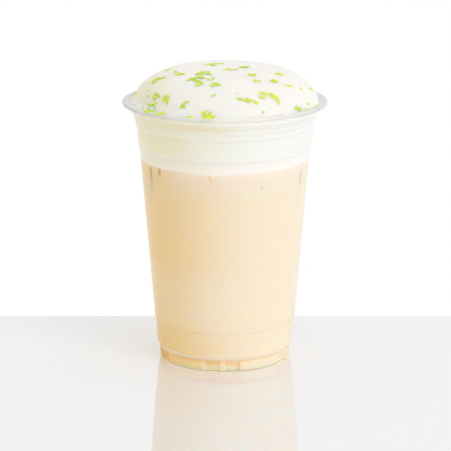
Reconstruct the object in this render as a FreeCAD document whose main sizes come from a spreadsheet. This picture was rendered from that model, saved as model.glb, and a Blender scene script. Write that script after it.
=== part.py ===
# Cheese foam tea: a clear plastic takeaway cup of iced milk tea under a thick dome of whipped foam.
#
# The document holds one sheet of driving sizes in millimetres and three sub-parts:
#   cup   a thin wall with a notched foot ring, a rounded heel, a stacking ring, a stepped neck and a lip
#   tea   the drink, from the bottom of the foot ring up to its level
#   foam  the layer that lies on the tea and swells over the mouth
# The cup stands on +Z with its origin at the centre of its base. Its front is towards -Y.
import FreeCAD, Part
import math
import os
import Sketcher

# Each row is an alias, its value and what it measures. Levels in the neck hang from the top of the cup,
# and radii are built up inwards from the rim, so a cup of another height or width keeps its details.
SIZES = (
    ("cup_height", 126.5, "from the surface it stands on to the top of the lip"),
    ("rim_radius", 49.0, "outside of the rolled lip"),
    ("wall", 0.6, "thickness of the plastic"),
    ("lip_width", 4.1, "from the mouth to the outside of the lip"),
    ("lip_height", 2.1, "top to bottom of the roll"),
    ("lip_slot", 0.7, "gap between the roll's tucked end and the collar"),
    ("collar_height", 2.5, "wall under the lip"),
    ("collar_lean", 0.5, "how far the collar widens on the way up"),
    ("flare_height", 2.5, "slanted band under the collar"),
    ("flare_reach", 1.5, "how far the flare widens"),
    ("ridge_height", 1.3, "raised bead under the flare"),
    ("ridge_step", 0.5, "how far the ridge stands out from the band below it"),
    ("upper_band_height", 2.2, "narrow band under the ridge"),
    ("upper_band_step", 0.55, "how far the upper band stands out from the lower one"),
    ("lower_band_height", 9.4, "wide band of the neck"),
    ("lower_band_step", 0.55, "how far the lower band stands out from the body"),
    ("step_rise", 1.0, "height over which each step of the neck widens"),
    ("taper", 0.079, "widening of the body for each millimetre of height"),
    ("ring_step", 0.5, "how far the body stands out from the band below the stacking ring"),
    ("ring_rise", 0.8, "height over which the stacking ring widens"),
    ("band_height", 10.6, "band between the heel and the stacking ring"),
    ("band_lean", 0.6, "how far that band widens"),
    ("heel_rise", 3.0, "height over which the heel rounds out from the groove"),
    ("heel_inset", 1.25, "how far the heel rounds in"),
    ("groove_rise", 0.7, "from the top of the foot ring up to the groove under the heel"),
    ("foot_height", 4.5, "straight wall of the foot ring"),
    ("foot_flare", 0.2, "how far the foot ring stands out from the groove"),
    ("foot_width", 4.5, "foot ring, from its outside to its inside"),
    ("foot_bend", 0.4, "bend inside the plastic at the bottom of the foot ring"),
    ("panel_rise", 3.0, "underside of the base panel above the surface"),
    ("panel_lean", 0.8, "how far the inside of the foot ring narrows towards the panel"),
    ("notch_groups", 5, "pairs of notches round the foot ring"),
    ("notch_turn", -2.3, "degrees from the front to the middle of the first pair"),
    ("notch_span", 16.4, "outer edge to outer edge of a pair of notches"),
    ("notch_depth", 0.7, "depth of a notch below the foot ring's outside"),
    ("notch_margin", 0.5, "from the top of a notch to the top of the foot ring"),
    ("rib_width", 2.8, "rib left between the two notches of a pair"),
    ("tea_drop", 27.9, "from the top of the lip down to the level of the tea"),
    ("dome_height", 17.55, "top of the foam above the middle of the lip"),
    ("dome_shoulder", 3.39, "exponent that holds the dome's width: more makes a flatter top"),
    ("dome_edge", 1.65, "exponent that sets how sharply the dome turns down at the mouth"),
)
DOME_STEPS = 12  # stretches of the dome's section between the top and the mouth


class Size:
    """A length with the expression that gives it, so a sketch starts solved and stays bound to the sheet."""

    def __init__(self, value, text):
        self.value = value
        self.text = text

    def __add__(self, other):
        return Size(self.value + other.value, f"({self.text} + {other.text})")

    def __sub__(self, other):
        return Size(self.value - other.value, f"({self.text} - {other.text})")

    def __mul__(self, other):
        return Size(self.value * other.value, f"({self.text} * {other.text})")

    def __truediv__(self, other):
        return Size(self.value / other.value, f"({self.text} / {other.text})")


ZERO = Size(0.0, "0")
TWO = Size(2.0, "2")


class Cup:
    """The radii and levels that the cup and its contents share, worked out from the sheet."""

    def __init__(self, sheet):
        for name, _, _ in SIZES:
            setattr(self, name, Size(float(getattr(sheet, name)), f"{sheet.Name}.{name}"))
        self.add_levels()
        self.add_radii()

    def add_levels(self):
        self.lip_middle = self.cup_height - self.lip_height / TWO
        self.lip_foot = self.cup_height - self.lip_height
        self.collar_foot = self.lip_foot - self.collar_height
        self.flare_foot = self.collar_foot - self.flare_height
        self.ridge_foot = self.flare_foot - self.ridge_height
        self.upper_band_top = self.ridge_foot - self.step_rise
        self.upper_band_foot = self.upper_band_top - self.upper_band_height
        self.lower_band_top = self.upper_band_foot - self.step_rise
        self.lower_band_foot = self.lower_band_top - self.lower_band_height
        self.body_top = self.lower_band_foot - self.step_rise
        self.groove_level = self.foot_height + self.groove_rise
        self.heel_level = self.groove_level + self.heel_rise
        self.band_top = self.heel_level + self.band_height
        self.ring_level = self.band_top + self.ring_rise
        self.notch_top = self.foot_height - self.notch_margin
        self.tea_level = self.cup_height - self.tea_drop

    def add_radii(self):
        self.mouth = self.rim_radius - self.lip_width
        self.collar_top = self.mouth + self.wall
        self.collar_low = self.collar_top - self.collar_lean
        self.flare_low = self.collar_low - self.flare_reach
        self.ridge_low = self.flare_low - self.taper * self.ridge_height
        self.upper_high = self.ridge_low - self.ridge_step
        self.upper_low = self.upper_high - self.taper * self.upper_band_height
        self.lower_high = self.upper_low - self.upper_band_step
        self.lower_low = self.lower_high - self.taper * self.lower_band_height
        self.body_high = self.lower_low - self.lower_band_step
        self.body_low = self.body_high - self.taper * (self.body_top - self.ring_level)
        self.band_high = self.body_low - self.ring_step
        self.heel = self.band_high - self.band_lean
        self.groove = self.heel - self.heel_inset
        self.foot = self.groove + self.foot_flare
        self.foot_inside = self.foot - self.foot_width
        # The heel's arc starts in the groove and meets the wall upright.
        rise, inset = self.heel_rise, self.heel_inset
        self.heel_round = (rise * rise + inset * inset) / (TWO * inset)


def make_sheet(doc):
    sheet = doc.addObject("Spreadsheet::Sheet", "Sizes")
    for row, (name, value, meaning) in enumerate(SIZES, start=1):
        sheet.set(f"A{row}", name)
        sheet.set(f"B{row}", str(value))
        sheet.set(f"C{row}", meaning)
        sheet.setAlias(f"B{row}", name)
    doc.recompute()
    return sheet


def new_sketch(body, name, plane_role):
    plane = next(item for item in body.Origin.OriginFeatures if item.Role == plane_role)
    sketch = body.newObject("Sketcher::SketchObject", name)
    sketch.AttachmentSupport = [(plane, "")]
    sketch.MapMode = "FlatFace"
    return sketch


def bind(sketch, constraint, size):
    """Adds a constraint that ends in a length and ties that length to the sheet."""
    index = sketch.addConstraint(Sketcher.Constraint(*constraint, abs(size.value)))
    sketch.setExpression(f"Constraints[{index}]", size.text if size.value >= 0 else f"-{size.text}")


def arc_between(start, end, radius, left):
    """The arc shorter than half a turn from start to end, which turns left or right on the way."""
    chord = end - start
    side = FreeCAD.Vector(-chord.y, chord.x, 0).normalize() * (1 if left else -1)
    centre = (start + end) * 0.5 + side * math.sqrt(radius**2 - (chord.Length / 2) ** 2)
    first, last = (start, end) if left else (end, start)
    angles = [math.atan2(point.y - centre.y, point.x - centre.x) for point in (first, last)]
    return Part.ArcOfCircle(Part.Circle(centre, FreeCAD.Vector(0, 0, 1), radius), *angles)


def draw_outline(sketch, corners):
    """Closes an outline through its corners, each placed from the axes of the sketch.

    A corner is (across, up), or (across, up, radius, turn) where an arc leads to the next corner, turning
    left or right on the way.
    """
    points = [FreeCAD.Vector(corner[0].value, corner[1].value, 0) for corner in corners]
    ends = []
    for index, corner in enumerate(corners):
        start, end = points[index], points[(index + 1) % len(points)]
        if len(corner) == 2:
            edge = sketch.addGeometry(Part.LineSegment(start, end))
            ends.append((edge, 1, 2))
            continue
        left = corner[3] == "left"
        edge = sketch.addGeometry(arc_between(start, end, corner[2].value, left))
        ends.append((edge, 1, 2) if left else (edge, 2, 1))
    for index, (edge, _, end) in enumerate(ends):
        following, start, _ = ends[(index + 1) % len(ends)]
        sketch.addConstraint(Sketcher.Constraint("Coincident", edge, end, following, start))
    for (edge, start, _), corner in zip(ends, corners):
        for axis, kind, size in ((-2, "DistanceX", corner[0]), (-1, "DistanceY", corner[1])):
            if size is ZERO:
                sketch.addConstraint(Sketcher.Constraint("PointOnObject", edge, start, axis))
            else:
                bind(sketch, (kind, -1, 1, edge, start), size)
        if len(corner) > 2:
            bind(sketch, ("Radius", edge), corner[2])


def lower_corners(cup, inset):
    """Section from the middle of the base, round the foot and up to the lip, inset into the plastic."""
    bend = cup.foot_bend + cup.wall - inset
    low = inset + bend
    inner = cup.foot_inside + inset
    outer = cup.foot - inset
    panel = cup.panel_rise + inset
    return [
        (ZERO, panel),
        (inner - cup.panel_lean, panel),
        (inner, low, bend, "left"),
        (inner + bend, inset if inset.value else ZERO),
        (outer - bend, inset if inset.value else ZERO, bend, "left"),
        (outer, low),
        (outer, cup.foot_height),
        (cup.groove - inset, cup.groove_level, cup.heel_round, "left"),
        (cup.heel - inset, cup.heel_level),
        (cup.band_high - inset, cup.band_top),
        (cup.body_low - inset, cup.ring_level),
        (cup.body_high - inset, cup.body_top),
        (cup.lower_low - inset, cup.lower_band_foot),
        (cup.lower_high - inset, cup.lower_band_top),
        (cup.upper_low - inset, cup.upper_band_foot),
        (cup.upper_high - inset, cup.upper_band_top),
        (cup.ridge_low - inset, cup.ridge_foot),
        (cup.flare_low - inset, cup.flare_foot),
        (cup.collar_low - inset, cup.collar_foot),
    ]


def outside_corners(cup):
    """Section of everything inside the cup's outer skin, with the roll of the lip."""
    roll = cup.lip_height / TWO
    return lower_corners(cup, ZERO) + [
        (cup.collar_top, cup.lip_foot),
        (cup.rim_radius - roll, cup.lip_foot, roll, "left"),
        (cup.rim_radius, cup.lip_middle, roll, "left"),
        (cup.rim_radius - roll, cup.cup_height),
        (ZERO, cup.cup_height),
    ]


def inside_corners(cup):
    """Section of the space in the cup, which opens over the roll of the lip."""
    roll = cup.lip_height / TWO
    return lower_corners(cup, cup.wall) + [
        (cup.mouth, cup.lip_foot),
        (cup.mouth, cup.lip_middle, roll, "right"),
        (cup.mouth + roll, cup.cup_height),
        (ZERO, cup.cup_height),
    ]


def roll_corners(cup):
    """Section of the hollow in the rolled lip, with the slot where the rolled edge stops."""
    bend = cup.lip_height / TWO - cup.wall
    floor = cup.lip_foot + cup.wall
    ceiling = cup.cup_height - cup.wall
    slot = cup.collar_top + cup.lip_slot
    outer = cup.rim_radius - cup.wall
    return [
        (cup.collar_top, cup.lip_foot),
        (slot, cup.lip_foot),
        (slot, floor),
        (outer - bend, floor, bend, "left"),
        (outer, cup.lip_middle, bend, "left"),
        (outer - bend, ceiling),
        (cup.collar_top + bend, ceiling, bend, "left"),
        (cup.collar_top, cup.lip_middle),
    ]


def turned_body(doc, name, corners):
    """A body turned about the upright axis."""
    body = doc.addObject("PartDesign::Body", name)
    section = new_sketch(body, f"{name}Section", "XZ_Plane")
    draw_outline(section, corners)
    turn = body.newObject("PartDesign::Revolution", f"{name}Turned")
    turn.Profile = section
    turn.ReferenceAxis = (section, ["V_Axis"])
    turn.Angle = 360
    section.Visibility = False
    return body


def hollow_lip(cup, body):
    """Turns the hollow out of the roll."""
    section = new_sketch(body, "RollSection", "XZ_Plane")
    draw_outline(section, roll_corners(cup))
    groove = body.newObject("PartDesign::Groove", "RollHollow")
    groove.Profile = section
    groove.ReferenceAxis = (section, ["V_Axis"])
    groove.Angle = 360
    section.Visibility = False


def draw_notch(sketch, side, near, far, floor_radius, reach_radius):
    """One notch on one side of the pair's middle line, between two arcs about the cup's axis."""

    def corner(across, radius):
        return FreeCAD.Vector(side * across.value, -math.sqrt(radius.value**2 - across.value**2), 0)

    left, right = (near, far) if side > 0 else (far, near)
    arcs = []
    for radius in (floor_radius, reach_radius):
        circle = Part.Circle(FreeCAD.Vector(), FreeCAD.Vector(0, 0, 1), radius.value)
        arc_ends = (corner(left, radius), corner(right, radius))
        angles = [math.atan2(point.y, point.x) for point in arc_ends]
        arc = sketch.addGeometry(Part.ArcOfCircle(circle, *angles))
        sketch.addConstraint(Sketcher.Constraint("Coincident", arc, 3, -1, 1))
        bind(sketch, ("Radius", arc), radius)
        arcs.append(arc)
    for arc_end, across in ((1, left), (2, right)):
        side_line = Part.LineSegment(corner(across, floor_radius), corner(across, reach_radius))
        edge = sketch.addGeometry(side_line)
        sketch.addConstraint(Sketcher.Constraint("Coincident", edge, 1, arcs[0], arc_end))
        sketch.addConstraint(Sketcher.Constraint("Coincident", edge, 2, arcs[1], arc_end))
        sketch.addConstraint(Sketcher.Constraint("Vertical", edge))
        start, end = ((-1, 1), (edge, 1)) if side > 0 else ((edge, 1), (-1, 1))
        bind(sketch, ("DistanceX", *start, *end), across)


def notch_foot(cup, body, inset):
    """Cuts the pairs of notches into the foot ring, grown by inset for the space inside the plastic."""
    sketch = new_sketch(body, f"{body.Name}NotchPair", "XY_Plane")
    sketch.setExpression("AttachmentOffset.Rotation.Angle", f"{cup.notch_turn.text} * 1 deg")
    near = cup.rib_width / TWO - inset
    far = cup.notch_span / TWO + inset
    for side in (-1, 1):
        draw_notch(sketch, side, near, far, cup.foot - cup.notch_depth - inset, cup.heel)
    pocket = body.newObject("PartDesign::Pocket", f"{body.Name}Notches")
    pocket.Profile = sketch
    pocket.Reversed = True
    pocket.setExpression("Length", (cup.notch_top + inset).text)
    sketch.Visibility = False
    pattern = body.newObject("PartDesign::PolarPattern", f"{body.Name}NotchRing")
    pattern.Originals = [pocket]
    pattern.Axis = (sketch, ["N_Axis"])
    pattern.Angle = 360
    pattern.setExpression("Occurrences", cup.notch_groups.text)
    body.Tip = pattern


def make_slab(doc, cup, name, foot, top):
    """A round slab wider than the cup, between two levels."""
    slab = doc.addObject("Part::Cylinder", name)
    slab.setExpression("Radius", cup.rim_radius.text)
    slab.setExpression("Height", (top - foot).text)
    slab.setExpression("Placement.Base.z", foot.text)
    return slab


def make_dome(doc, cup):
    """The foam above the middle of the lip: a quarter of a rounded section, turned about the axis."""
    points = []
    for step in range(DOME_STEPS + 1):
        turn = math.pi / 2 * step / DOME_STEPS
        across = cup.mouth.value * math.sin(turn) ** (2 / cup.dome_shoulder.value)
        up = cup.dome_height.value * math.cos(turn) ** (2 / cup.dome_edge.value)
        points.append(FreeCAD.Vector(across, 0, cup.lip_middle.value + max(up, 0.0)))
    centre = FreeCAD.Vector(0, 0, cup.lip_middle.value)
    curve = Part.BSplineCurve()
    curve.interpolate(
        Points=points,
        InitialTangent=FreeCAD.Vector(1, 0, 0),
        FinalTangent=FreeCAD.Vector(0, 0, -1),
    )
    edges = [curve.toShape(), Part.makeLine(points[-1], centre), Part.makeLine(centre, points[0])]
    section = doc.addObject("Part::Feature", "DomeSection")
    section.Shape = Part.Face(Part.Wire(edges))
    dome = doc.addObject("Part::Revolution", "Dome")
    dome.Source = section
    dome.Axis = FreeCAD.Vector(0, 0, 1)
    dome.Angle = 360
    dome.Solid = True
    return dome


def combine(doc, kind, name, base, tool):
    result = doc.addObject(f"Part::{kind}", name)
    result.Base = base
    result.Tool = tool
    result.Refine = True
    return result


def make_parts(doc, cup):
    outside = turned_body(doc, "Outside", outside_corners(cup))
    hollow_lip(cup, outside)
    notch_foot(cup, outside, ZERO)
    inside = turned_body(doc, "Inside", inside_corners(cup))
    notch_foot(cup, inside, cup.wall)

    shell = combine(doc, "Cut", "Cup", outside, inside)
    shell.Label = "cup"

    tea = combine(doc, "Common", "Tea", inside, make_slab(doc, cup, "TeaDepth", ZERO, cup.tea_level))
    tea.Label = "tea"

    layer_depth = make_slab(doc, cup, "FoamDepth", cup.tea_level, cup.lip_middle)
    layer = combine(doc, "Common", "FoamLayer", inside, layer_depth)
    foam = combine(doc, "Fuse", "Foam", layer, make_dome(doc, cup))
    foam.Label = "foam"
    return [shell, tea, foam]


def check(doc, parts):
    for item in doc.Objects:
        if "Invalid" in item.State or "Error" in item.State:
            raise RuntimeError(f"{item.Name} did not build: {item.State}")
    for part in parts:
        if part.Shape.isNull() or not part.Shape.isValid() or len(part.Shape.Solids) != 1:
            raise RuntimeError(f"{part.Label} is not one valid solid")


def main():
    doc = FreeCAD.newDocument("CheeseFoamTea")
    cup = Cup(make_sheet(doc))
    parts = make_parts(doc, cup)
    doc.recompute()
    check(doc, parts)
    os.makedirs("parts", exist_ok=True)
    for part in parts:
        part.Shape.exportStep(f"parts/{part.Label}.step")
        box = part.Shape.BoundBox
        print(f"{part.Label}: {part.Shape.Volume / 1000:.1f} ml, z {box.ZMin:.2f} to {box.ZMax:.2f} mm")


main()
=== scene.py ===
import math
import random

import bmesh
import bpy
from mathutils import Matrix, Vector, noise


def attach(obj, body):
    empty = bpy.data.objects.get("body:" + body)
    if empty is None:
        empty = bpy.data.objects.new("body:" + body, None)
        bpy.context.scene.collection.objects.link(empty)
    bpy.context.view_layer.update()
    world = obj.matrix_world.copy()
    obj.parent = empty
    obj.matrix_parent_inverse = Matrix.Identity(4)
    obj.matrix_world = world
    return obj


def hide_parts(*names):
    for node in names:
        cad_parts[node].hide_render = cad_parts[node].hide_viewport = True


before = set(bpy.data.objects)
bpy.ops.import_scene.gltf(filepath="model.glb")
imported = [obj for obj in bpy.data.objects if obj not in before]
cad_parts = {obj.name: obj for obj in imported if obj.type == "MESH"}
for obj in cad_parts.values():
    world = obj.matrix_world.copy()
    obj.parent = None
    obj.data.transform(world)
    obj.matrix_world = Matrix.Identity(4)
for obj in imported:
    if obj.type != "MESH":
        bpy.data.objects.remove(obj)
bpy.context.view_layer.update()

MM = 0.001

# The cup's sizes in millimetres, the same as in the part's source.
CUP_HEIGHT = 126.5
RIM_RADIUS = 49.0
WALL = 0.6
LIP_WIDTH = 4.1
LIP_HEIGHT = 2.1
LIP_SLOT = 0.7
COLLAR_HEIGHT, COLLAR_LEAN = 2.5, 0.5
FLARE_HEIGHT, FLARE_REACH = 2.5, 1.5
RIDGE_HEIGHT, RIDGE_STEP = 1.3, 0.5
UPPER_BAND_HEIGHT, UPPER_BAND_STEP = 2.2, 0.55
LOWER_BAND_HEIGHT, LOWER_BAND_STEP = 9.4, 0.55
STEP_RISE = 1.0
TAPER = 0.079
RING_STEP, RING_RISE = 0.5, 0.8
BAND_HEIGHT, BAND_LEAN = 10.6, 0.6
HEEL_RISE, HEEL_INSET = 3.0, 1.25
GROOVE_RISE = 0.7
FOOT_HEIGHT, FOOT_FLARE, FOOT_WIDTH, FOOT_BEND = 4.5, 0.2, 4.5, 0.4
PANEL_RISE, PANEL_LEAN = 3.0, 0.8
NOTCH_GROUPS, NOTCH_TURN = 5, -2.3
NOTCH_SPAN, NOTCH_DEPTH, NOTCH_TOP = 16.4, 0.7, 4.0
RIB_WIDTH = 2.8
TEA_DROP = 27.9
DOME_HEIGHT, DOME_SHOULDER, DOME_EDGE = 17.55, 3.39, 1.65

# Levels, from the top down and from the base up.
LIP_MIDDLE = CUP_HEIGHT - LIP_HEIGHT / 2
LIP_FOOT = CUP_HEIGHT - LIP_HEIGHT
COLLAR_FOOT = LIP_FOOT - COLLAR_HEIGHT
FLARE_FOOT = COLLAR_FOOT - FLARE_HEIGHT
RIDGE_FOOT = FLARE_FOOT - RIDGE_HEIGHT
UPPER_TOP = RIDGE_FOOT - STEP_RISE
UPPER_FOOT = UPPER_TOP - UPPER_BAND_HEIGHT
LOWER_TOP = UPPER_FOOT - STEP_RISE
LOWER_FOOT = LOWER_TOP - LOWER_BAND_HEIGHT
BODY_TOP = LOWER_FOOT - STEP_RISE
GROOVE_LEVEL = FOOT_HEIGHT + GROOVE_RISE
HEEL_LEVEL = GROOVE_LEVEL + HEEL_RISE
BAND_TOP = HEEL_LEVEL + BAND_HEIGHT
RING_LEVEL = BAND_TOP + RING_RISE
TEA_LEVEL = CUP_HEIGHT - TEA_DROP

# Radii, from the rim inwards.
MOUTH = RIM_RADIUS - LIP_WIDTH
COLLAR_TOP = MOUTH + WALL
COLLAR_LOW = COLLAR_TOP - COLLAR_LEAN
FLARE_LOW = COLLAR_LOW - FLARE_REACH
RIDGE_LOW = FLARE_LOW - TAPER * RIDGE_HEIGHT
UPPER_HIGH = RIDGE_LOW - RIDGE_STEP
UPPER_LOW = UPPER_HIGH - TAPER * UPPER_BAND_HEIGHT
LOWER_HIGH = UPPER_LOW - UPPER_BAND_STEP
LOWER_LOW = LOWER_HIGH - TAPER * LOWER_BAND_HEIGHT
BODY_HIGH = LOWER_LOW - LOWER_BAND_STEP
BODY_LOW = BODY_HIGH - TAPER * (BODY_TOP - RING_LEVEL)
BAND_HIGH = BODY_LOW - RING_STEP
HEEL = BAND_HIGH - BAND_LEAN
GROOVE = HEEL - HEEL_INSET
FOOT = GROOVE + FOOT_FLARE
FOOT_INSIDE = FOOT - FOOT_WIDTH

DOME_RADIUS, DOME_SHIFT = MOUTH - 0.5, 0.4  # the foam's dome stands a little to the right in the mouth
RING_LIFT, RING_BEND = 0.6, 1.2  # the foam's ring inside the lip: its height, and its bend into the dome
INTO_WALL = 0.2  # how far the contents reach into the plastic, so that no air gap shows
SOLE_GAP = 0.15  # plastic left under the tea in the foot ring

# Bends of the cup's section, each about the radius of a corner's curve, and slopes of the notches.
PANEL_BEND = 0.8
GROOVE_BEND = 0.35
HEEL_BEND, HEEL_DROP = 2.4, 0.9  # the heel's bend is wide, so its corner is drawn under the heel's level
STEP_BEND = 0.5
FLARE_BEND = 0.8
NOTCH_SOFTNESS = 0.25  # half the width of the slope at each edge of a notch
NOTCH_FADE = 0.4  # height of the slope at the top of a notch

# How finely the meshes are divided.
COLUMNS = 200  # columns of vertices round the axis
LONGEST = 4.0  # the longest stretch of a section between two vertices
NOTCH_COLUMNS = (-0.36, -0.12, 0.12, 0.36)  # places of the columns at each edge of a notch, round the foot
COLUMN_GAP = 0.5  # other columns keep this far from those
DOME_RINGS = 72  # rings of vertices from the mouth to the top of the foam


# ---------------------------------------------------------------- mesh helpers

def rounded(corners, steps=5):
    """A path through (radius, level, bend) corners. Each bend is about the radius of the curve there."""
    most_of_side, straight = 0.48, math.radians(89.8)
    path = []
    for index, (r, z, bend) in enumerate(corners):
        here = Vector((r, z))
        if bend == 0 or index in (0, len(corners) - 1):
            path.append(here)
            continue
        back = Vector(corners[index - 1][:2]) - here
        on = Vector(corners[index + 1][:2]) - here
        half = back.angle(on) / 2
        if half > straight:
            path.append(here)
            continue
        reach = min(bend / math.tan(half), back.length * most_of_side, on.length * most_of_side)
        start, end = here + back.normalized() * reach, here + on.normalized() * reach
        for step in range(steps + 1):
            t = step / steps
            path.append(start.lerp(here, t).lerp(here.lerp(end, t), t))
    return path


def resampled(path):
    """The same path with no stretch over the longest, so that long walls have vertices of their own."""
    points = [path[0]]
    for a, b in zip(path, path[1:]):
        pieces = max(1, math.ceil((b - a).length / LONGEST))
        points += [a.lerp(b, (i + 1) / pieces) for i in range(pieces)]
    return points


def arc(middle_r, middle_z, radius, first, last, steps=8):
    """Points of an arc in the section. Its degrees count from straight outwards, towards straight up."""
    angles = [math.radians(first + (last - first) * i / steps) for i in range(steps + 1)]
    return [Vector((middle_r + radius * math.cos(a), middle_z + radius * math.sin(a))) for a in angles]


def smoothstep(low, high, value):
    """0 at low and 1 at high, level at both ends. Low may be the greater of the two."""
    t = min(max((value - low) / (high - low), 0.0), 1.0)
    return t * t * (3 - 2 * t)


def even_columns():
    """Angles round the axis from the front, evenly spaced."""
    return [math.tau * index / COLUMNS for index in range(COLUMNS)]


def notched_columns():
    """The same, but closer together at the edges of the notches."""
    marks = []
    for group in range(NOTCH_GROUPS):
        middle = math.radians(NOTCH_TURN + 360 * group / NOTCH_GROUPS)
        for edge in (-NOTCH_SPAN / 2, -RIB_WIDTH / 2, RIB_WIDTH / 2, NOTCH_SPAN / 2):
            marks += [(middle + (edge + off) / FOOT) % math.tau for off in NOTCH_COLUMNS]
    angles = list(marks)
    for angle in even_columns():
        if all(abs((angle - m + math.pi) % math.tau - math.pi) > COLUMN_GAP / FOOT for m in marks):
            angles.append(angle)
    return sorted(angles)


def notch_offset(angle):
    """How far round the foot an angle is from the middle of the nearest group of notches, in millimetres."""
    spacing = math.tau / NOTCH_GROUPS
    return ((angle - math.radians(NOTCH_TURN) + spacing / 2) % spacing - spacing / 2) * FOOT


def notch_at(angle, level, top):
    """How deep the foot ring is pressed in at an angle from the front, from 0 to 1. A rib parts a group."""
    if level > top:
        return 0.0
    off = abs(notch_offset(angle))
    inside = smoothstep(NOTCH_SPAN / 2 + NOTCH_SOFTNESS, NOTCH_SPAN / 2 - NOTCH_SOFTNESS, off)
    beside_rib = smoothstep(RIB_WIDTH / 2 - NOTCH_SOFTNESS, RIB_WIDTH / 2 + NOTCH_SOFTNESS, off)
    return inside * beside_rib * smoothstep(top, top - NOTCH_FADE, level)


def new_object(name, verts, faces, material):
    """A smooth mesh in one material, creased only where it turns sharply."""
    mesh = bpy.data.meshes.new(name)
    mesh.from_pydata(verts, [], faces)
    mesh.validate()
    mesh.polygons.foreach_set("use_smooth", [True] * len(mesh.polygons))
    mesh.set_sharp_from_angle(angle=math.radians(50))
    mesh.materials.append(material)
    obj = bpy.data.objects.new(name, mesh)
    bpy.context.collection.objects.link(obj)
    return obj


def add_values(obj, name, values):
    """Gives every vertex a number of its own, which a material reads by name."""
    attribute = obj.data.attributes.new(name, "FLOAT", "POINT")
    attribute.data.foreach_set("value", values)


def lathe(name, path, angles, place, material):
    """Turns a path of (radius, level) about the axis. place(r, z, angle) gives each vertex in millimetres."""
    on_axis = 1e-6
    verts, rows = [], []
    for r, z in path:
        if r < on_axis:
            rows.append([len(verts)] * len(angles))
            verts.append(Vector(place(0.0, z, 0.0)) * MM)
            continue
        rows.append(list(range(len(verts), len(verts) + len(angles))))
        verts += [Vector(place(r, z, angle)) * MM for angle in angles]
    faces = []
    for low, high in zip(rows, rows[1:]):
        for i in range(len(angles)):
            j = (i + 1) % len(angles)
            corners = [low[i], low[j], high[j], high[i]]
            face = [v for k, v in enumerate(corners) if v != corners[k - 1]]
            if len(face) > 2:
                faces.append(face)
    return new_object(name, verts, faces, material)


def round_point(r, z, angle):
    """Angles count from the front, -Y, towards the right, +X."""
    return (r * math.sin(angle), -r * math.cos(angle), z)


# ---------------------------------------------------------------- node helpers

class Nodes:
    """Short hand for the node tree of a material or a world. Most of its methods give a socket."""

    def __init__(self, owner, output="ShaderNodeOutputMaterial"):
        owner.use_nodes = True
        self.owner = owner
        self.tree = owner.node_tree
        self.tree.nodes.clear()
        self.output = self.tree.nodes.new(output)

    def add(self, kind, inputs=None, **settings):
        """A new node itself, its inputs set to numbers or linked to sockets."""
        node = self.tree.nodes.new(kind)
        for key, value in settings.items():
            setattr(node, key, value)
        for key, value in (inputs or {}).items():
            if isinstance(value, bpy.types.NodeSocket):
                self.tree.links.new(value, node.inputs[key])
            else:
                node.inputs[key].default_value = value
        return node

    def calc(self, operation, *values, **settings):
        """A sum worked out on numbers or sockets."""
        node = self.add("ShaderNodeMath", dict(enumerate(values)), operation=operation, **settings)
        return node.outputs[0]

    def ramp(self, value, low, high, first=0.0, last=1.0, easing="LINEAR"):
        """First where a value is at low, last where it is at high, and held beyond both."""
        node = self.add("ShaderNodeMapRange", {
            "Value": value, "From Min": low, "From Max": high, "To Min": first, "To Max": last},
            interpolation_type=easing)
        return node.outputs["Result"]

    def blend(self, share, first, second):
        """A colour between two. Mix keeps its colour sockets at these places."""
        return self.add("ShaderNodeMix", {0: share, 6: first, 7: second}, data_type="RGBA").outputs[2]

    def where(self):
        """A point's place in the object's own space."""
        return self.add("ShaderNodeTexCoord").outputs["Object"]

    def axis(self, where, name):
        """One coordinate of a place."""
        return self.add("ShaderNodeSeparateXYZ", {0: where}).outputs[name]

    def cloud(self, where, scale, detail):
        """Soft noise about 0.5, the finer the greater its scale."""
        node = self.add("ShaderNodeTexNoise", {"Vector": where, "Scale": scale, "Detail": detail})
        return node.outputs["Fac"]

    def bump(self, height, strength, distance):
        """A normal that follows a height."""
        node = self.add("ShaderNodeBump", {"Strength": strength, "Distance": distance, "Height": height})
        return node.outputs["Normal"]

    def finish(self, surface):
        """Ends the tree at its output and gives what it belongs to."""
        self.tree.links.new(surface, self.output.inputs["Surface"])
        return self.owner


def material_nodes(name):
    """The node tree of a new material."""
    return Nodes(bpy.data.materials.new(name))


def across(n, where, low, high):
    """From 0 to 1 between two places along X, in millimetres, with no hard edge."""
    return n.ramp(n.axis(where, "X"), low * MM, high * MM, easing="SMOOTHERSTEP")


def between_levels(n, where, low, high, last=1.0):
    """From 0 at the first level to last at the second, in millimetres."""
    return n.ramp(n.axis(where, "Z"), low * MM, high * MM, 0.0, last)


def near_level(n, where, level, reach):
    """1 close to a level and 0 from a reach away on, in millimetres."""
    close = 0.25 * reach
    off = n.calc("ABSOLUTE", n.calc("SUBTRACT", n.axis(where, "Z"), level * MM))
    return n.ramp(off, close * MM, reach * MM, 1.0, 0.0, "SMOOTHSTEP")


def depth_share(n, where):
    """How much light wanders inside: none where tea and foam meet, as each would lose it to the other."""
    reach = 5.0
    return n.calc("SUBTRACT", 1.0, near_level(n, where, TEA_LEVEL, reach))


# ---------------------------------------------------------------- materials

# Colours. A name that holds two of them is a pair that a soft cloud varies between.
PLASTIC = (0.99, 0.99, 0.99, 1)
PLASTIC_SHADE_UNDER_LIP = (0.80, 0.78, 0.74, 1)
LIP_IN_FRONT, LIP_SHADED_ASIDE = (0.95, 0.94, 0.90, 1), (0.69, 0.69, 0.70, 1)

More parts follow.
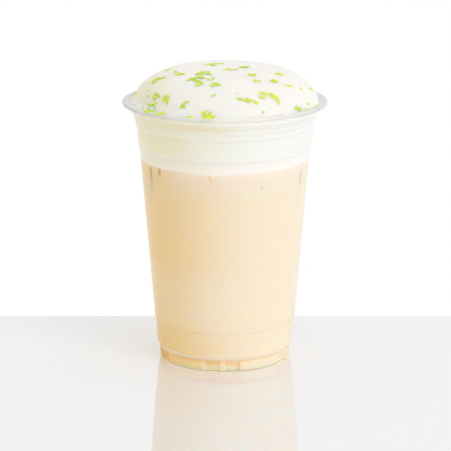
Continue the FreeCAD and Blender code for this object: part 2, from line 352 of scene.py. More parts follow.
TEA_LOW = (0.96, 0.62, 0.21, 1), (0.98, 0.66, 0.25, 1)
TEA_HIGH = (0.87, 0.65, 0.34, 1), (0.90, 0.69, 0.38, 1)
TEA_LIT_AND_MILKY = (0.95, 0.785, 0.615, 1), (0.97, 0.805, 0.635, 1)
TEA_HAZE = (0.94, 0.82, 0.76, 1)
TEA_BEAD_HIGHLIGHT, TEA_BEAD_SHADOW = (0.97, 0.79, 0.66, 1), (0.91, 0.60, 0.28, 1)
TEA_GROOVE = (0.93, 0.68, 0.40, 1)
TEA_NOTCH_SHADOW, TEA_SIDE_NOTCH_SHADE = (0.90, 0.58, 0.24, 1), (0.86, 0.55, 0.20, 1)
TEA_GLEAM, TEA_SHADED_EDGE = (0.97, 0.74, 0.53, 1), (0.93, 0.64, 0.32, 1)
TEA_LIT_SOLE = (1.0, 0.80, 0.55, 1)
CREAMY_TEA = (0.92, 0.89, 0.80, 1)

FOAM_TOP = (0.865, 0.85, 0.81, 1), (0.885, 0.87, 0.84, 1)
FOAM_TOP_LEFT_SHADE = (0.82, 0.80, 0.60, 1)
FOAM_RING = (0.87, 0.87, 0.84, 1)
FOAM_SHADED_LEFT, FOAM_LIT_RIGHT = (0.95, 0.86, 0.70, 1), (0.97, 0.91, 0.86, 1)
FOAM_LIP_SHADOW, FOAM_PATCH = (0.95, 0.83, 0.57, 1), (0.94, 0.85, 0.62, 1)

ICE_AMBER_IN_SHADE = (0.70, 0.36, 0.10, 1), (0.77, 0.43, 0.16, 1)
ICE_PALE_IN_LIGHT = (0.90, 0.62, 0.33, 1), (0.94, 0.68, 0.40, 1)
ICE_FOOT = (0.80, 0.58, 0.38, 1)

ZEST_YELLOW, ZEST_GREEN = (0.90, 0.91, 0.09, 1), (0.32, 0.68, 0.01, 1)
ZEST_MIDDLE = (0.62, 0.85, 0.015, 1)

FLOOR_PALE, FLOOR_PAINTED_GLOW = (0.82, 0.835, 0.867, 1), (1.0, 0.92, 0.78, 1)
WHITE = (1, 1, 1, 1)
STUDIO_WHITE = (1.0, 0.985, 0.955, 1)

# Painted shade and highlights that the tea bears at the cup's foot, in the order in which they are laid on.
FOOT_MARKS = ("side_notch_shade", "notch", "gleam", "shaded_edge")


def clear_plastic():
    """Moulded clear plastic, a little hazy, that lets the lamp and the studio's light through.

    The thick lip is greyer and less clear towards its left and right, which is painted shade, and the foot
    ring is nearly see-through.
    """
    n = material_nodes("clear_plastic")
    ripple = n.add("ShaderNodeTexNoise", {"Scale": 60.0, "Detail": 2.0}).outputs["Fac"]
    where = n.where()
    rim = between_levels(n, where, LIP_FOOT - 0.6, LIP_FOOT + 0.2)
    # Painted shade: the lip greys and turns less clear towards its left and right.
    aside = n.calc("MULTIPLY", n.axis(where, "X"), 1 / (RIM_RADIUS * MM))
    milky = n.calc("MULTIPLY", aside, aside)
    tint = n.blend(rim, PLASTIC, n.blend(milky, LIP_IN_FRONT, LIP_SHADED_ASIDE))
    # Painted shade in a thin band along the foot of the lip.
    tint = n.blend(near_level(n, where, LIP_FOOT, 0.6), tint, PLASTIC_SHADE_UNDER_LIP)
    lip_clear = n.ramp(milky, 0.0, 1.0, 0.8, 0.25)
    clear = n.ramp(rim, 0.0, 1.0, 0.96, lip_clear)
    glass = n.add("ShaderNodeBsdfPrincipled", {
        "Base Color": tint, "Roughness": 0.24, "IOR": 1.22, "Transmission Weight": clear,
        "Normal": n.bump(ripple, 0.05, 0.0002)})
    through = n.add("ShaderNodeBsdfTransparent", {"Color": WHITE})
    ray = n.add("ShaderNodeLightPath").outputs
    lit_through = n.calc("MAXIMUM", ray["Is Shadow Ray"], ray["Is Diffuse Ray"])
    foot = between_levels(n, where, GROOVE_LEVEL + 0.2, GROOVE_LEVEL - 0.4, 0.9)
    plain = n.calc("MAXIMUM", lit_through, foot)
    mix = n.add("ShaderNodeMixShader", {0: plain, 1: glass.outputs[0], 2: through.outputs[0]})
    return n.finish(mix.outputs[0])


def tea_body(n, where):
    """The tea's tone in the body: strong at left and pale at right as painted shade and light, milky in a
    swirl, and hazy near the top.
    """
    swirl_level, swirl_reach, swirl_share = 34, 22, 0.3
    haze_reach, haze_share = 16, 0.3
    cloud = n.cloud(where, 28.0, 2.0)
    rise = between_levels(n, where, 0, TEA_LEVEL)
    strong = n.blend(rise, n.blend(cloud, *TEA_LOW), n.blend(cloud, *TEA_HIGH))
    milky = n.blend(cloud, *TEA_LIT_AND_MILKY)
    swirl = n.calc("MULTIPLY", near_level(n, where, swirl_level, swirl_reach), across(n, where, 14, -16))
    # Painted shade and light: the tea pales from left to right. The swirl adds real milkier tea.
    share = n.calc("MULTIPLY_ADD", swirl, swirl_share, across(n, where, -42, 18), use_clamp=True)
    tone = n.blend(share, strong, milky)
    haze = n.calc("MULTIPLY", near_level(n, where, TEA_LEVEL, haze_reach), across(n, where, -36, -16))
    return n.blend(haze_share, tone, n.blend(haze, tone, TEA_HAZE))


def tea_foot(n, where, tone):
    """The tone at the cup's foot: the groove, and painted light and shade on the bead, the notches and the
    sole.
    """
    # A painted highlight on the bead, and painted shadow under it towards the front left.
    bead = near_level(n, where, GROOVE_LEVEL + 1.3, 0.9)
    groove = near_level(n, where, GROOVE_LEVEL, 0.7)
    bead_shadow = n.calc("MULTIPLY", near_level(n, where, GROOVE_LEVEL - 0.5, 1.3), across(n, where, 18, -12))
    in_foot = between_levels(n, where, GROOVE_LEVEL - 0.3, FOOT_HEIGHT - 0.3)
    # Painted shadow under the top of each notch in front.
    near_top = near_level(n, where, NOTCH_TOP + 0.3, 2.0)
    # Painted light that lifts the dark contact line at the tea's sole.
    sole = near_level(n, where, SOLE_GAP, 0.7)
    for share, paint in ((bead, TEA_BEAD_HIGHLIGHT), (groove, TEA_GROOVE), (bead_shadow, TEA_BEAD_SHADOW)):
        tone = n.blend(share, tone, paint)
    # Side notches darken with painted shade only at the far left. Elsewhere they keep the tone that the foot
    # has so far.
    side_notch_shade = n.blend(across(n, where, -28, -23), TEA_SIDE_NOTCH_SHADE, tone)
    shares = (in_foot, near_top, in_foot, in_foot)
    paints = (side_notch_shade, TEA_NOTCH_SHADOW, TEA_GLEAM, TEA_SHADED_EDGE)
    for mark, share, paint in zip(FOOT_MARKS, shares, paints):
        marked = n.add("ShaderNodeAttribute", attribute_name=mark).outputs["Fac"]
        tone = n.blend(n.calc("MULTIPLY", marked, share), tone, paint)
    return n.blend(sole, tone, TEA_LIT_SOLE)


def creamy_edge(n, where):
    """1 where the tea is as pale as foam: over a wavy line under its surface, lowest left of the middle."""
    sag, more_at_left, fade = 1.0, 1.8, 1.2
    wave = n.cloud(where, 45.0, 1.0)
    sag_all = n.calc("MULTIPLY_ADD", across(n, where, 25, -20), more_at_left * MM, sag * MM)
    sag_here = n.calc("MULTIPLY", sag_all, across(n, where, -42, -24))
    raised = n.calc("MULTIPLY_ADD", wave, sag_here, n.axis(where, "Z"))
    return n.ramp(raised, TEA_LEVEL * MM, (TEA_LEVEL + fade) * MM)


def milk_tea():
    """Milky tea, toned as the cup lets it show: its body, its foot, and the creamy edge under the foam."""
    n = material_nodes("milk_tea")
    where = n.where()
    tone = tea_foot(n, where, tea_body(n, where))
    tea = n.add("ShaderNodeBsdfPrincipled", {
        "Base Color": n.blend(creamy_edge(n, where), tone, CREAMY_TEA),
        "Roughness": 0.45, "IOR": 1.33, "Specular IOR Level": 0.1,
        "Subsurface Weight": depth_share(n, where), "Subsurface Radius": (1.0, 0.5, 0.2),
        "Subsurface Scale": 0.003})
    return n.finish(tea.outputs[0])


def cheese_foam():
    """Dense whipped foam: soft, with a fine grain and a dull shine; painted shade makes it yellower on the
    left, in the cup and on the dome, and under the lip.
    """
    n = material_nodes("cheese_foam")
    where = n.where()
    top = n.blend(n.cloud(where, 35.0, 2.0), *FOAM_TOP)
    # Painted shade on the dome's left shoulder; the ring by the lip is kept whiter.
    top = n.blend(across(n, where, -46, -14), FOAM_TOP_LEFT_SHADE, top)
    top = n.blend(near_level(n, where, CUP_HEIGHT, 2.5), top, FOAM_RING)
    # Painted shade and light in the cup: yellower at left, paler at right.
    in_cup = n.blend(across(n, where, -38, 22), FOAM_SHADED_LEFT, FOAM_LIT_RIGHT)
    # Painted shadow of the lip on the foam, strongest at the left.
    lip_shadow = n.calc("MULTIPLY", near_level(n, where, FLARE_FOOT + 1.0, 2.6), across(n, where, 22, -26))
    in_cup = n.blend(lip_shadow, in_cup, FOAM_LIP_SHADOW)
    patch = n.calc("MULTIPLY", near_level(n, where, LOWER_TOP - 3, 7.0), across(n, where, -8, -30))
    in_cup = n.blend(patch, in_cup, FOAM_PATCH)
    above = between_levels(n, where, CUP_HEIGHT - 3, CUP_HEIGHT)
    foam = n.add("ShaderNodeBsdfPrincipled", {
        "Base Color": n.blend(above, in_cup, top), "Roughness": 0.42, "IOR": 1.36, "Specular IOR Level": 0.3,
        "Subsurface Weight": depth_share(n, where), "Subsurface Radius": (1.0, 0.85, 0.65),
        "Subsurface Scale": 0.0025, "Normal": n.bump(n.cloud(where, 900.0, 3.0), 0.15, 0.0001)})
    return n.finish(foam.outputs[0])


def tea_ice():
    """Ice under the tea, which shows only at the wall: amber on the left and pale at right, painted shade and
    light like the tea's, and duller low down.
    """
    low, high = 88, 95
    n = material_nodes("tea_ice")
    where = n.where()
    frost = n.cloud(where, 250.0, 2.0)
    strong = n.blend(between_levels(n, where, low, high), ICE_FOOT, n.blend(frost, *ICE_AMBER_IN_SHADE))
    # Painted shade and light: amber at left, paler towards the right.
    tone = n.blend(across(n, where, -38, 10), strong, n.blend(frost, *ICE_PALE_IN_LIGHT))
    ice = n.add("ShaderNodeBsdfPrincipled", {
        "Base Color": tone, "Roughness": 0.45, "IOR": 1.31, "Specular IOR Level": 0.1})
    return n.finish(ice.outputs[0])


def lime_zest():
    """Grated lime rind, each shred of its own tone from yellow to green."""
    n = material_nodes("lime_zest")
    pores = n.cloud(n.where(), 1500.0, 1.0)
    shred = n.add("ShaderNodeAttribute", attribute_name="tone").outputs["Fac"]
    ramp = n.add("ShaderNodeValToRGB", {0: n.calc("MULTIPLY_ADD", pores, 0.3, shred)})
    yellow, green = ramp.color_ramp.elements
    yellow.position, yellow.color = 0.2, ZEST_YELLOW
    green.position, green.color = 1.0, ZEST_GREEN
    ramp.color_ramp.elements.new(0.6).color = ZEST_MIDDLE
    zest = n.add("ShaderNodeBsdfPrincipled", {
        "Base Color": ramp.outputs["Color"], "Roughness": 0.5, "IOR": 1.4, "Specular IOR Level": 0.4,
        "Subsurface Weight": 0.15, "Subsurface Radius": (0.8, 1.0, 0.2), "Subsurface Scale": 0.0003,
        "Normal": n.bump(pores, 0.4, 0.0002)})
    return n.finish(zest.outputs[0])


def pale_floor():
    """Polished pale floor, with painted warm light under the cup and right beside its foot."""
    shine = 0.4
    n = material_nodes("pale_floor")
    far = n.add("ShaderNodeVectorMath", {0: n.where()}, operation="LENGTH").outputs["Value"]
    beside = n.ramp(far, (FOOT + 0.5) * MM, (FOOT - 0.3) * MM)
    matt = n.add("ShaderNodeBsdfDiffuse", {"Color": n.blend(beside, FLOOR_PALE, FLOOR_PAINTED_GLOW)})
    gloss = n.add("ShaderNodeBsdfGlossy", {"Color": WHITE, "Roughness": 0.02})
    mix = n.add("ShaderNodeMixShader", {0: shine, 1: matt.outputs[0], 2: gloss.outputs[0]})
    return n.finish(mix.outputs[0])


# ---------------------------------------------------------------- the cup

def lower_corners(inset, sole, bend):
    """Section from the middle of the base up to the collar. The foot's sole has a level and a bend."""
    return [
        (0.0, PANEL_RISE + inset, 0),
        (FOOT_INSIDE + inset - PANEL_LEAN, PANEL_RISE + inset, PANEL_BEND),
        (FOOT_INSIDE + inset, sole, bend),
        (FOOT - inset, sole, bend),
        (FOOT - inset, FOOT_HEIGHT, GROOVE_BEND),
        (GROOVE - inset, GROOVE_LEVEL, GROOVE_BEND),
        (HEEL - inset, HEEL_LEVEL - HEEL_DROP, HEEL_BEND),
        (BAND_HIGH - inset, BAND_TOP, STEP_BEND),
        (BODY_LOW - inset, RING_LEVEL, STEP_BEND),
        (BODY_HIGH - inset, BODY_TOP, STEP_BEND),
        (LOWER_LOW - inset, LOWER_FOOT, STEP_BEND),
        (LOWER_HIGH - inset, LOWER_TOP, STEP_BEND),
        (UPPER_LOW - inset, UPPER_FOOT, STEP_BEND),
        (UPPER_HIGH - inset, UPPER_TOP, STEP_BEND),
        (RIDGE_LOW - inset, RIDGE_FOOT, STEP_BEND),
        (FLARE_LOW - inset, FLARE_FOOT, FLARE_BEND),
        (COLLAR_LOW - inset, COLLAR_FOOT, FLARE_BEND),
    ]


def cup_path():
    """The whole section of the plastic: up the outside, round the rolled lip and down the inside."""
    roll = LIP_HEIGHT / 2
    edge = WALL / 2
    tip = COLLAR_TOP + LIP_SLOT + edge
    outer = rounded(lower_corners(0, 0, FOOT_BEND + WALL) + [(COLLAR_TOP, LIP_MIDDLE, 0)])
    slot = [Vector((tip - edge, LIP_MIDDLE))]
    lip = arc(tip, LIP_FOOT + edge, edge, 180, 270)
    lip += arc(RIM_RADIUS - roll, LIP_MIDDLE, roll, -90, 90, 20)
    lip += arc(MOUTH + roll, LIP_MIDDLE, roll, 90, 180)
    brim = [(MOUTH, LIP_FOOT, FLARE_BEND), (MOUTH, LIP_MIDDLE, 0)]
    inner = rounded(lower_corners(WALL, WALL, FOOT_BEND) + brim)
    return resampled(outer + slot + lip + inner[::-1][1:])


def make_cup():
    """The whole cup in one piece of plastic."""
    start, full = FOOT - WALL - 1.3, FOOT - WALL - 0.4

    def place(r, z, angle):
        """Presses the notches into the foot ring's outer wall, and less and less across its sole."""
        if start < r < FOOT + 0.1 and z < NOTCH_TOP + WALL:
            r -= NOTCH_DEPTH * notch_at(angle, z, NOTCH_TOP) * smoothstep(start, full, r)
        return round_point(r, z, angle)

    cup = lathe("cup_shell", cup_path(), notched_columns(), place, clear_plastic())
    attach(cup, "root")
    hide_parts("cup")


# ---------------------------------------------------------------- what is in the cup

def inner_path(low, high):
    """The inside of the wall between two levels, reaching a little into the plastic."""
    brim = [(MOUTH + INTO_WALL, LIP_FOOT, FLARE_BEND), (MOUTH + INTO_WALL, LIP_MIDDLE, 0)]
    path = rounded(lower_corners(WALL - INTO_WALL, SOLE_GAP, 2 * SOLE_GAP) + brim)
    wall = []
    for a, b in zip(path, path[1:]):
        for level in (low, high):
            if min(a.y, b.y) < level < max(a.y, b.y):
                wall.append(a.lerp(b, (level - a.y) / (b.y - a.y)))
        if low <= b.y <= high:
            wall.append(b)
    return resampled(wall)


def foot_marks(co):
    """How much of each of FOOT_MARKS a point of the tea bears, from 0 to 1.

    In front, the tea has painted shadow under the top of a notch, a painted highlight at the left of the
    group and on its rib, and painted shade at the group's right edge. Away from the front, a whole group is
    toned alike.
    """
    angle = math.atan2(co.x, -co.y)
    front = smoothstep(0.4, 0.8, math.cos(angle))
    off, half = notch_offset(angle), NOTCH_SPAN / 2
    beside = smoothstep(1.5, 0.2, abs(off + half + 1.1))
    rib = smoothstep(RIB_WIDTH / 2 + 0.3, RIB_WIDTH / 2 - 0.8, abs(off))
    return {
        "side_notch_shade": (1 - front) * smoothstep(half + 0.8, half - 0.4, abs(off)),
        "notch": front * notch_at(angle, co.z / MM, NOTCH_TOP + WALL),
        "gleam": front * max(beside, rib),
        "shaded_edge": front * smoothstep(1.2, 0.2, abs(off - half - 0.1)),
    }


def make_tea():
    """The tea, which fills the cup up to its level and the foot ring too."""
    top = NOTCH_TOP + WALL
    path = [Vector((0, PANEL_RISE + WALL - INTO_WALL))] + inner_path(0, TEA_LEVEL) + [Vector((0, TEA_LEVEL))]

    def place(r, z, angle):
        """Keeps the tea inside the notches of the foot ring."""
        if FOOT - WALL - 1.0 < r < FOOT and z < top:
            r -= NOTCH_DEPTH * notch_at(angle, z, top)
        return round_point(r, z, angle)

    tea = lathe("milk_tea", path, notched_columns(), place, milk_tea())
    points = [foot_marks(vert.co) for vert in tea.data.vertices]
    for mark in FOOT_MARKS:
        add_values(tea, mark, [point[mark] for point in points])
    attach(tea, "root")
    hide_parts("tea")


def dome_level(x, y):
    """Height of the foam above the middle of the lip: the dome, and round it a narrow ring by the lip."""
    out = math.hypot(x - DOME_SHIFT, y) / DOME_RADIUS
    dome = DOME_HEIGHT * max(1 - out ** DOME_SHOULDER, 0.0) ** (1 / DOME_EDGE)
    return (dome + RING_LIFT + math.sqrt((dome - RING_LIFT) ** 2 + RING_BEND ** 2)) / 2 - RING_BEND / 4


def swell(x, y, width, depth, corner):
    """Smooth swells and hollows of a width and a depth. The corner of the noise stands for a seed."""
    return noise.noise(Vector((x / width + corner[0], y / width + corner[1], corner[2]))) * depth


def fold_at(x, y):
    """Soft folds of the foam's top, none at the mouth. The middle lies lower, which leaves room for zest."""
    fade, middle, flank, zest_room = 10, 14, 34, 0.4
    r = math.hypot(x, y)
    folds = swell(x, y, 26, 0.55, (3.1, -1.7, 0.4)) + swell(x, y, 9, 0.10, (-6.2, 2.9, 5.0))
    return folds * smoothstep(MOUTH, MOUTH - fade, r) - zest_room * smoothstep(flank, middle, r)


def foam_top(x, y):
    """Level of the foam's surface, in millimetres."""
    return LIP_MIDDLE + dome_level(x, y) + fold_at(x, y)


def make_foam():
    """The foam, from the tea's surface to the top of its dome."""
    # The dome's rings lie closer together towards the mouth, where it is steep.
    turns = [math.pi / 2 * (1 - ring / DOME_RINGS) for ring in range(1, DOME_RINGS + 1)]
    dome = [Vector((MOUTH * math.sin(turn) ** (2 / DOME_SHOULDER), CUP_HEIGHT)) for turn in turns]
    path = [Vector((0, TEA_LEVEL))] + inner_path(TEA_LEVEL, LIP_MIDDLE) + dome

    def place(r, z, angle):
        """Lifts all that is over the middle of the lip to the foam's surface."""
        x, y, z = round_point(r, z, angle)
        if z > LIP_MIDDLE:
            z = foam_top(x, y)
        return (x, y, z)

    foam = lathe("cheese_foam", path, even_columns(), place, cheese_foam())
    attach(foam, "root")
    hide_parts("foam")


# ---------------------------------------------------------------- ice

# Each cube: the angle where its edge meets the wall, counted from the front towards the right, the level
# of its middle, its lean along the wall, how far the edge presses out, and its half size. The first five
# are those that show in front.
ICE_CUBES = [
    (-61, 92.3, 0, 0.65, 6.3),
    (-50, 96.9, 8, 0.40, 2.4),
    (-9, 95.3, -24, 0.03, 4.2),
    (26, 90, -6, 0.04, 4.0),
    (64, 92.2, 0, 0.45, 4.2),
    (104, 87, 12, 0.12, 9.0),
    (140, 92, -15, 0.10, 7.0),
    (178, 88, 4, 0.12, 9.0),
    (-145, 91, 10, 0.10, 8.0),
    (-105, 86, -10, 0.12, 9.0),
]
ICE_EDGE = 1.6  # how far a cube's melted edges are rounded
ICE_UNEVEN, ICE_SWELL_WIDTH = 0.2, 7  # depth and width of the swells on its faces
ICE_PROUD = 0.05  # how far an edge may stand out of the tea, into the plastic
ICE_TOP = TEA_LEVEL + 2  # how high it may stand, in the foam


def wall_radius(level):
    """Radius of the contents where they meet the wall of the cup's body."""
    return BODY_HIGH - TAPER * (BODY_TOP - level) - WALL + INTO_WALL


def melting_cube(half, rng):
    """A cube about its own middle, with rounded edges and slightly uneven faces."""
    long = 3
    cube = bmesh.new()
    bmesh.ops.create_cube(cube, size=2 * half)
    bmesh.ops.bevel(cube, geom=cube.edges[:], offset=ICE_EDGE, segments=5, affect="EDGES", profile=0.5)
    long_edges = [edge for edge in cube.edges if edge.calc_length() > long]
    bmesh.ops.subdivide_edges(cube, edges=long_edges, cuts=5, use_grid_fill=True)
    seed = Vector((rng.uniform(0, 50), rng.uniform(0, 50), rng.uniform(0, 50)))
    for vert in cube.verts:
        vert.co += vert.co.normalized() * ICE_UNEVEN * noise.noise(vert.co / ICE_SWELL_WIDTH + seed)
    return cube


def seat_at_wall(cube, turn, level, lean, press):
    """Puts a cube's edge at the wall, which flattens whatever would pass through it."""
    # An upright edge of the cube faces out, then the cube leans along the wall and with its taper.
    pose = Matrix.Rotation(math.radians(turn), 4, "Z") @ Matrix.Rotation(math.atan(TAPER), 4, "X")
    pose = pose @ Matrix.Rotation(math.radians(lean), 4, "Y") @ Matrix.Rotation(math.radians(45), 4, "Z")
    cube.transform(pose)
    angle = math.radians(turn)
    outward = Vector((math.sin(angle), -math.cos(angle), -TAPER))
    foremost = max(vert.co.dot(outward) for vert in cube.verts)
    middle = wall_radius(level) + press - foremost
    for vert in cube.verts:
        x, y, z = vert.co + Vector(round_point(middle, level, angle))
        r = math.hypot(x, y)
        most = wall_radius(z) + ICE_PROUD
        if r > most:
            x, y = x * most / r, y * most / r
        vert.co = Vector((x, y, min(z, ICE_TOP))) * MM


def make_ice():
    """All the cubes in one mesh."""
    rng = random.Random(4)
    whole = bmesh.new()
    for turn, level, lean, press, half in ICE_CUBES:
        cube = melting_cube(half, rng)
        seat_at_wall(cube, turn, level, lean, press)
        part = bpy.data.meshes.new("ice_cube")
        cube.to_mesh(part)
        cube.free()
        whole.from_mesh(part)
        bpy.data.meshes.remove(part)
    mesh = bpy.data.meshes.new("ice")
    whole.to_mesh(mesh)
    whole.free()
    mesh.polygons.foreach_set("use_smooth", [True] * len(mesh.polygons))
    mesh.materials.append(tea_ice())
    ice = bpy.data.objects.new("ice", mesh)
    bpy.context.collection.objects.link(ice)
    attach(ice, "root")


# ---------------------------------------------------------------- lime zest

# Clumps of zest, placed and then nudged. Each clump: its bearing round the foam in degrees,
# from the front towards the right; how far out it lies, as a share of the way from the top to the mouth;
# its spread; how many shreds it has; their length; their lie in degrees, from the line that runs round the
# foam; and their tone from 0, yellow, to 9, green.
CLUMPS = [
    # left shoulder
    (-95, 0.60, 2.0, 4, 4.0, -20, 5), (-75, 0.55, 1.5, 3, 5.0, -10, 6), (-58, 0.55, 2.2, 6, 3.2, 20, 5),
    (-70, 0.75, 3.0, 9, 3.5, 60, 6), (-65, 0.88, 0.0, 1, 3.0, 30, 1), (-85, 0.95, 1.0, 3, 4.0, 0, 7),
    # left, low, and at the rim
    (-60, 0.92, 0.0, 1, 2.5, 60, 2), (-60, 0.98, 0.0, 1, 4.0, 90, 3), (-52, 0.90, 1.8, 6, 3.6, -20, 8),
    (-42, 0.91, 2.4, 4, 4.5, -10, 7), (-52, 0.96, 0.5, 2, 7.0, 10, 8), (-48, 1.05, 2.2, 16, 2.4, 30, 8),
    (-39, 1.05, 2.2, 16, 2.4, 30, 8), (-27, 0.93, 1.8, 6, 3.2, 35, 8), (-20, 1.06, 1.2, 8, 2.4, 60, 7),
    (-9, 1.03, 2.6, 34, 2.2, 10, 7), (-12, 0.97, 0.8, 3, 4.0, 5, 6),
    # top and middle
    (-138, 0.18, 5.0, 9, 3.2, 0, 7), (20, 0.20, 2.5, 6, 4.0, -20, 4), (-32, 0.42, 4.4, 12, 3.6, 20, 8),
    (-28, 0.62, 3.5, 12, 4.0, 25, 8), (-14, 0.60, 1.5, 5, 4.0, -70, 8), (-22, 0.72, 1.0, 3, 5.0, 25, 7),
    (-8, 0.72, 2.0, 9, 2.5, 0, 7), (-8, 0.85, 0.6, 3, 1.8, 30, 9),
    # right of the top, and the right shoulder
    (75, 0.22, 2.0, 5, 3.5, -70, 8), (34, 0.50, 2.2, 9, 3.2, 50, 6), (31, 0.66, 1.6, 6, 3.0, 70, 4),
    (46, 0.70, 1.4, 7, 3.2, -65, 8), (67, 0.62, 2.0, 7, 2.5, -30, 6), (55, 0.80, 1.4, 2, 6.5, -40, 0),
    (65, 0.88, 0.0, 1, 3.0, -80, 0), (80, 0.92, 0.0, 2, 5.0, -30, 0),
    # right, low, and at the rim
    (9, 0.82, 0.3, 1, 1.5, 0, 0), (10, 0.88, 0.8, 4, 2.0, -20, 9), (15, 0.90, 0.8, 4, 3.5, -35, 6),
    (20, 0.92, 0.6, 2, 3.5, -35, 3), (27, 0.86, 2.2, 7, 3.2, -20, 6), (34, 0.87, 2.2, 8, 3.2, -35, 5),
    (36, 0.93, 0.8, 4, 2.5, -85, 5), (24, 0.98, 0.4, 2, 1.8, -80, 6), (50, 0.99, 1.0, 4, 5.0, -35, 8),
    (56, 1.01, 0.6, 3, 4.5, 0, 6), (62, 0.98, 0.5, 2, 2.5, -10, 2), (66, 1.05, 0.8, 2, 2.5, 0, 3),
]
BACK_BEARINGS = range(115, 255, 10)  # where clumps lie at the back, give or take some degrees
HEAP = 0.03  # how much higher each further shred of a clump makes its middle
ZEST_REACH = RIM_RADIUS - 0.5  # how far from the axis a shred's middle line may lie, on the lip's outer side
SHRED_SIDES = 8
PROBE, NEAR_PROBE = 0.2, 0.1  # how far to either side the surface is felt for its slope


def rest_level(x, y):
    """Level of what zest lies on: the foam, or the roll of the lip outside it."""
    r = math.hypot(x, y)
    roll = LIP_HEIGHT / 2
    if r < MOUTH:
        return foam_top(x, y)
    inner, outer = MOUTH + roll, RIM_RADIUS - roll
    off = max(inner - r, r - outer, 0.0)
    return LIP_MIDDLE + math.sqrt(max(roll * roll - off * off, 0.0))


def lie_of(x, y):
    """Upward normal of what zest lies on."""
    tilt_x = rest_level(x + PROBE, y) - rest_level(x - PROBE, y)
    tilt_y = rest_level(x, y + PROBE) - rest_level(x, y - PROBE)
    return Vector((-tilt_x, -tilt_y, 2 * PROBE)).normalized()


def kept_on(x, y):
    """The same place, or where it is off the lip, the nearest place on its outer side."""
    far = max(math.hypot(x, y), ZEST_REACH)
    return x * ZEST_REACH / far, y * ZEST_REACH / far


def scattered_shreds():
    """Every shred's middle, rise, length, heading, curl, tone and half-width, drawn round its clump."""
    rng = random.Random(23)
    shreds = []
    behind = [(bearing + rng.uniform(-8, 8), rng.uniform(0.76, 0.97), 2.0, 4, 3.0, rng.uniform(-60, 60), 6)
              for bearing in BACK_BEARINGS]
    for bearing, out, spread, count, length, lie, tone in CLUMPS + behind:
        turn = math.radians(bearing)
        outward = Vector((math.sin(turn), -math.cos(turn)))
        sideways = Vector((math.cos(turn), math.sin(turn)))
        middle = outward * out * MOUTH
        # On the steep flank a clump takes up less of the radius.
        fall = rest_level(*(middle - outward * PROBE)) - rest_level(*(middle + outward * PROBE))
        down = outward / math.hypot(1, fall / (2 * PROBE))
        for _ in range(count):
            far, way = spread * math.sqrt(rng.random()), rng.uniform(0, math.tau)
            x, y = kept_on(*(middle + sideways * far * math.cos(way) + down * far * math.sin(way)))
            tilt = math.radians(lie + 15 * spread * rng.uniform(-1, 1))
            course = sideways * math.cos(tilt) - down * math.sin(tilt)
            heading = math.degrees(math.atan2(course.y, course.x))
            rise = HEAP * count * (1 - far / max(spread, far, 0.1))
            shreds.append((x, y, rise, length * rng.uniform(0.5, 1.2), heading, rng.uniform(-90, 90),
                           tone + rng.uniform(-4.5, 2.0), rng.uniform(0.33, 0.52)))
    return shreds


def shred_route(x, y, length, heading, curl):
    """Points along the foam from one end of a shred to the other, half a millimetre apart or so."""
    steps = max(4, 2 * round(length))
    step = length / steps
    sides = []
    for way in (1, -1):
        px, py, turn = x, y, math.radians(heading)
        points = [(px, py)]
        for _ in range(steps // 2):
            turn += way * math.radians(curl) / steps
            dx, dy = math.cos(turn) * way, math.sin(turn) * way
            ahead = rest_level(px + dx * NEAR_PROBE, py + dy * NEAR_PROBE)
            behind = rest_level(px - dx * NEAR_PROBE, py - dy * NEAR_PROBE)
            run = step / math.hypot(1, (ahead - behind) / (2 * NEAR_PROBE))
            px, py = kept_on(px + dx * run, py + dy * run)
            points.append((px, py))
        sides.append(points)
    return [Vector((a, b, rest_level(a, b))) for a, b in sides[1][:0:-1] + sides[0]]


def shred_rings(route, rise, length, tone, half, rng):
    """Vertices of a flat uneven strip with tapered ends, ring by ring along a route, and the tone of each."""
    thick = rng.uniform(0.14, 0.20)
    twist, seed = rng.uniform(-0.4, 0.4), rng.uniform(0, 100)

    def swing(along, rate, layer):
        """Smooth random swing between -1 and 1. Each layer swings on its own."""
        return noise.noise(Vector((along * length * rate, seed, layer)))

    points, tones = [], []
    for i, point in enumerate(route):
        along = i / (len(route) - 1)
        ahead = route[min(i + 1, len(route) - 1)] - route[max(i - 1, 0)]
        up = lie_of(point.x, point.y)
        sideways = up.cross(ahead).normalized()
        taper = max(math.sin(math.pi * (0.06 + 0.88 * along)), 0.2) ** 0.5
        rough = 1 + 0.8 * swing(along, 1.2, 0)
        sway = 0.25 * swing(along, 0.8, 5)
        lift = rise + thick * 0.6 + 0.15 * max(swing(along, 0.4, 7), 0)
        lean = twist + 0.4 * swing(along, 0.5, 3)
        fleck = 0.25 * swing(along, 0.9, 9)
        for side in range(SHRED_SIDES):
            turn = math.tau * side / SHRED_SIDES
            flat, high = half * taper * rough * math.cos(turn), thick * taper * math.sin(turn)
            wide = flat * math.cos(lean) - high * math.sin(lean) + sway
            tall = flat * math.sin(lean) + high * math.cos(lean) + lift
            points.append((point + sideways * wide + up * tall) * MM)
            tones.append(tone / 9 * 0.75 + fleck - 0.3 * math.cos(turn) ** 2)
    return points, tones


def strip_faces(first, rings):
    """Faces of a closed strip whose rings of vertices start at the first."""
    faces = []
    last = first + (rings - 1) * SHRED_SIDES
    for low in range(first, last, SHRED_SIDES):
        high = low + SHRED_SIDES
        for side in range(SHRED_SIDES):
            on = (side + 1) % SHRED_SIDES
            faces.append((low + side, low + on, high + on, high + side))
    faces.append(tuple(range(first + SHRED_SIDES - 1, first - 1, -1)))
    faces.append(tuple(range(last, last + SHRED_SIDES)))
    return faces


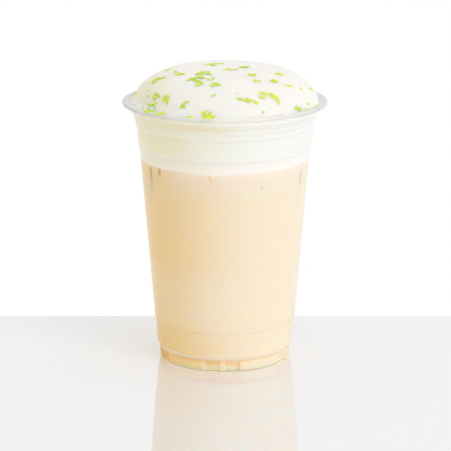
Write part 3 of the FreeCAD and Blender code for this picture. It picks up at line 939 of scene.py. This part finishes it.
def make_zest():
    """All the shreds in one mesh, each lying on the foam or the lip."""
    rng = random.Random(11)
    verts, faces, tones = [], [], []
    for x, y, rise, length, heading, curl, tone, half in scattered_shreds():
        route = shred_route(x, y, length, heading, curl)
        points, point_tones = shred_rings(route, rise, length, tone, half, rng)
        faces += strip_faces(len(verts), len(route))
        verts += points
        tones += point_tones
    zest = new_object("lime_zest", verts, faces, lime_zest())
    add_values(zest, "tone", tones)
    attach(zest, "root")


# ---------------------------------------------------------------- floor, light and camera

# In metres: how far the floor reaches to the sides and to the front, and where it ends behind the cup.
FLOOR_REACH, FLOOR_BACK = 3.0, 0.0597


def make_floor():
    """A flat floor that the cup stands on."""
    left, right, front, back = -FLOOR_REACH, FLOOR_REACH, -FLOOR_REACH, FLOOR_BACK
    corners = [(left, front, 0), (right, front, 0), (right, back, 0), (left, back, 0)]
    floor = new_object("floor", [Vector(corner) for corner in corners], [(0, 1, 2, 3)], pale_floor())


def make_world():
    """White wherever it is seen, also through the cup or mirrored. Its light is a bit weaker and warmer."""
    world = bpy.data.worlds.new("studio")
    bpy.context.scene.world = world
    n = Nodes(world, "ShaderNodeOutputWorld")
    white = n.add("ShaderNodeBackground", {"Color": WHITE})
    studio = n.add("ShaderNodeBackground", {"Color": STUDIO_WHITE, "Strength": 0.875})
    ray = n.add("ShaderNodeLightPath").outputs
    seen = n.calc("MAXIMUM", ray["Is Camera Ray"], ray["Is Transmission Ray"])
    seen = n.calc("MAXIMUM", seen, ray["Is Glossy Ray"])
    mix = n.add("ShaderNodeMixShader", {0: seen, 1: studio.outputs[0], 2: white.outputs[0]})
    n.finish(mix.outputs[0])


def make_light():
    """One broad soft key from the right of the camera. Its heading is from the front, -Y, to the right."""
    heading, rise = math.radians(45), math.radians(32)
    key = bpy.data.lights.new("key", "SUN")
    key.energy = 0.75
    key.color = (0.98, 1.0, 1.02)
    key.angle = math.radians(30)
    lamp = bpy.data.objects.new("key", key)
    towards = Vector(round_point(math.cos(rise), math.sin(rise), heading))
    lamp.rotation_euler = towards.to_track_quat("Z", "Y").to_euler()
    bpy.context.collection.objects.link(lamp)


def make_camera():
    """In front and a little above, looking down at the cup through a long lens."""
    dip = math.radians(14.39)
    optics = bpy.data.cameras.new("camera")
    optics.sensor_width = 36.0
    optics.lens = 161.3
    optics.clip_end = 20.0
    camera = bpy.data.objects.new("camera", optics)
    camera.location = (0.0003, -0.950, 0.3078)
    camera.rotation_euler = (math.radians(90) - dip, 0, 0)
    bpy.context.collection.objects.link(camera)
    bpy.context.scene.camera = camera


make_cup()
make_tea()
make_foam()
make_ice()
make_zest()
make_floor()
make_world()
make_light()
make_camera()
bpy.context.scene.view_settings.view_transform = "Standard"
